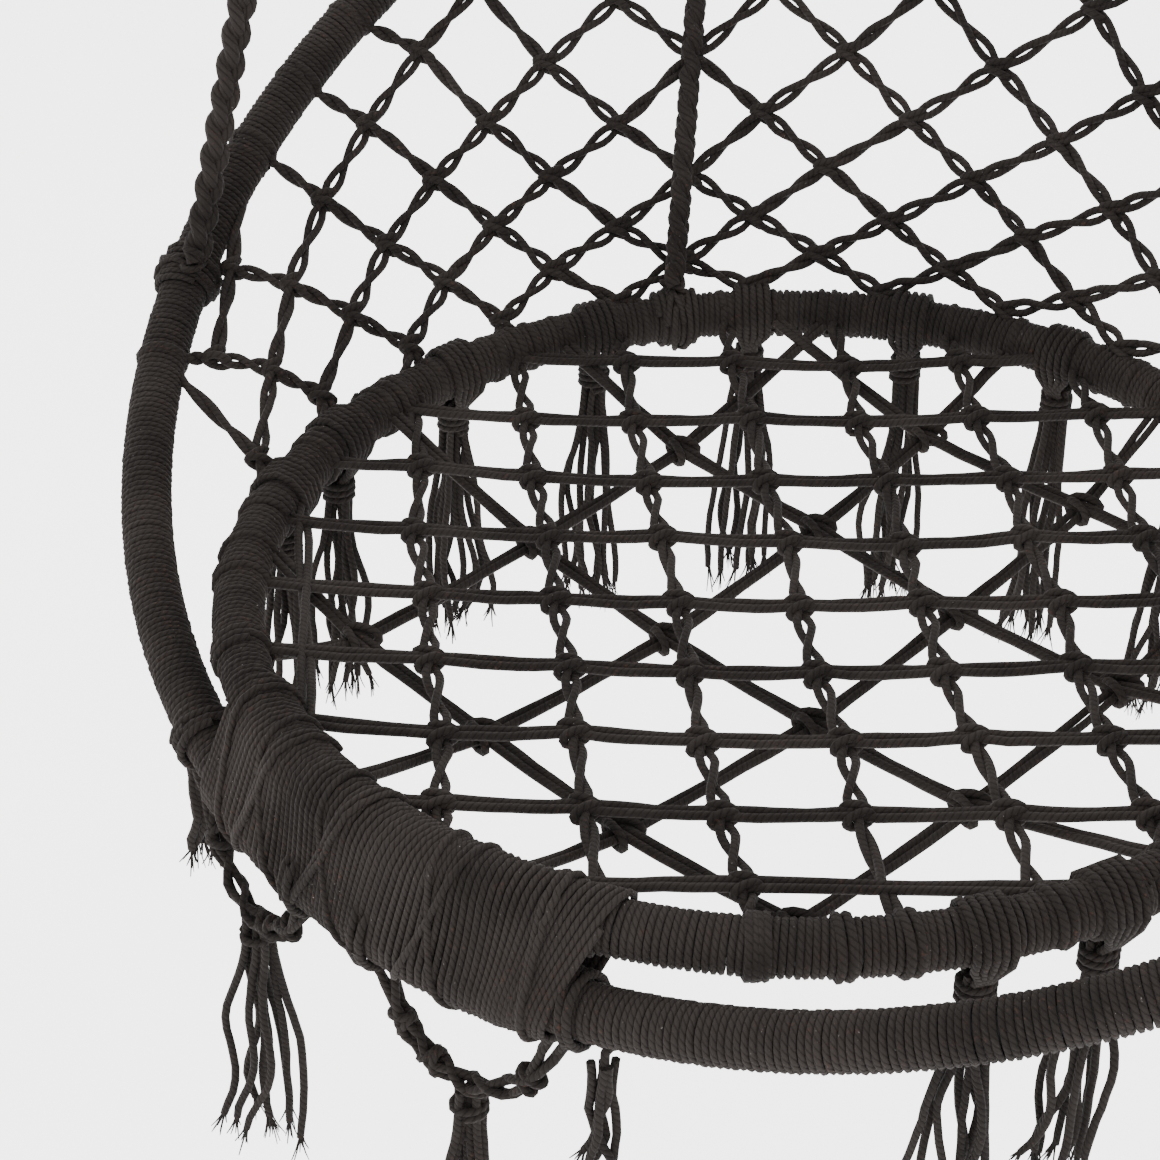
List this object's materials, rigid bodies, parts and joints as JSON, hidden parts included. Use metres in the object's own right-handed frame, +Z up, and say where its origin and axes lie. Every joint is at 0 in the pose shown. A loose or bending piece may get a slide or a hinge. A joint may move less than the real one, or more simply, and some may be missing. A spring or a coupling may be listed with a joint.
{
  "type": "macrame hanging chair",
  "caption": "Round knotted seat hoop lashed at the front inside a larger tilted back hoop, with a net back, four braided ropes to two rings and a tassel fringe.",
  "frame": {"origin": "on the swing axis, halfway between the two hanging rings, where the rope eyes turn on the rings' bars", "axes": "+Z up as it hangs, +X to the viewer's right when facing the seat from the front, -Y the side the sitter faces; the part is symmetric about the YZ plane"},
  "size_m": [0.915, 0.7868, 0.9806],
  "materials": {
    "ring_steel": "brushed zinc-plated bar",
    "tube_steel": "satin black powder coat",
    "wound_cord": "matt twisted cotton cord, wound side by side",
    "rope_cotton": "matt braided cotton rope",
    "net_cord": "matt twisted cotton cord in pairs, knotted",
    "fringe_cotton": "matt twisted cotton cord with frayed ends"
  },
  "bodies": {
    "hangers": {"hanging_ring_left": "ring_steel", "hanging_ring_right": "ring_steel"},
    "back": {"rope_eye_left": "rope_cotton", "rope_eye_right": "rope_cotton", "back_hoop_tube": "tube_steel", "back_hoop_winding": "wound_cord", "front_lashing": "wound_cord", "front_rope_hitch_left": "rope_cotton", "rear_rope_hitch_left": "rope_cotton", "front_rope_left": "rope_cotton", "rear_rope_left": "rope_cotton", "front_rope_hitch_right": "rope_cotton", "rear_rope_hitch_right": "rope_cotton", "front_rope_right": "rope_cotton", "rear_rope_right": "rope_cotton", "back_net_middle": "net_cord", "back_net_left": "net_cord", "back_net_right": "net_cord", "net_rope_left": "rope_cotton", "net_rope_right": "rope_cotton", "swag_left": "wound_cord", "front_tassel_left": "fringe_cotton", "small_tassel_left": "fringe_cotton", "swag_right": "wound_cord", "front_tassel_right": "fringe_cotton", "small_tassel_right": "fringe_cotton"},
    "seat": {"seat_hoop_tube": "tube_steel", "seat_hoop_winding": "wound_cord", "seat_rope_hitch_left": "rope_cotton", "seat_rope_hitch_right": "rope_cotton", "seat_net": "net_cord", "under_net": "net_cord", "tassel_left_1": "fringe_cotton", "tassel_left_2": "fringe_cotton", "tassel_left_3": "fringe_cotton", "tassel_left_4": "fringe_cotton", "tassel_left_5": "fringe_cotton", "tassel_left_6": "fringe_cotton", "tassel_left_7": "fringe_cotton", "tassel_right_1": "fringe_cotton", "tassel_right_2": "fringe_cotton", "tassel_right_3": "fringe_cotton", "tassel_right_4": "fringe_cotton", "tassel_right_5": "fringe_cotton", "tassel_right_6": "fringe_cotton", "tassel_right_7": "fringe_cotton"}
  },
  "joints": [
    {"name": "swing", "type": "hinge", "parent": "hangers", "child": "back", "pos_m": [0, 0, 0], "axis": [1, 0, 0], "range_deg": [-40, 40]},
    {"name": "seat_fold", "type": "hinge", "parent": "back", "child": "seat", "pos_m": [0, -0.3503, -0.6919], "axis": [1, 0, 0], "range_deg": [0, 14], "deforming": ["back_net_middle", "back_net_left", "back_net_right", "net_rope_left", "net_rope_right", "front_lashing"]}
  ]
}
